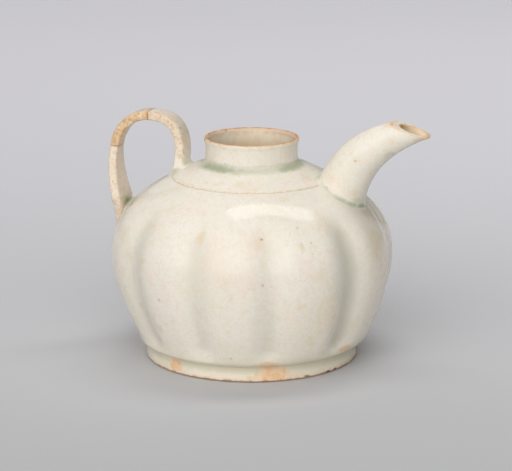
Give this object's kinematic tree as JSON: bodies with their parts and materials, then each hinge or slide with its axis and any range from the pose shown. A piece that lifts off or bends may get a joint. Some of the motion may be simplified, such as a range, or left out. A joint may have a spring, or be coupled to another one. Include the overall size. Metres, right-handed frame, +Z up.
{
  "type": "melon ewer",
  "caption": "Small lobed pouring ewer on a ring foot, with a low open neck, a bent spout cut on a slant and a mended strap handle.",
  "frame": {"origin": "on the standing face under the middle of the whole ewer's box; the pot's own axis is 7.8 mm towards -X from it, because the spout reaches further than the handle", "axes": "+X from the handle to the spout, +Y across, +Z up the pot's axis"},
  "size_m": [0.1468, 0.1245, 0.1087],
  "materials": {
    "cream_glaze": "glossy cream-white glaze, thin and slightly uneven, with bare orange clay at the edges",
    "mended_strap": "satin, tanner and speckled fragment",
    "pooled_glaze": "glossy, thick pale green glaze over slip"
  },
  "bodies": {
    "root": {"melon_body": "cream_glaze", "foot_ring": "cream_glaze", "shoulder_cap": "cream_glaze", "neck_collar": "cream_glaze", "spout": "cream_glaze", "handle_front_leg": "cream_glaze", "handle_crown": "mended_strap", "handle_back_leg": "cream_glaze", "handle_tail": "cream_glaze", "neck_luting": "pooled_glaze", "spout_luting": "pooled_glaze", "handle_front_luting": "pooled_glaze", "handle_back_luting": "pooled_glaze"}
  },
  "joints": []
}
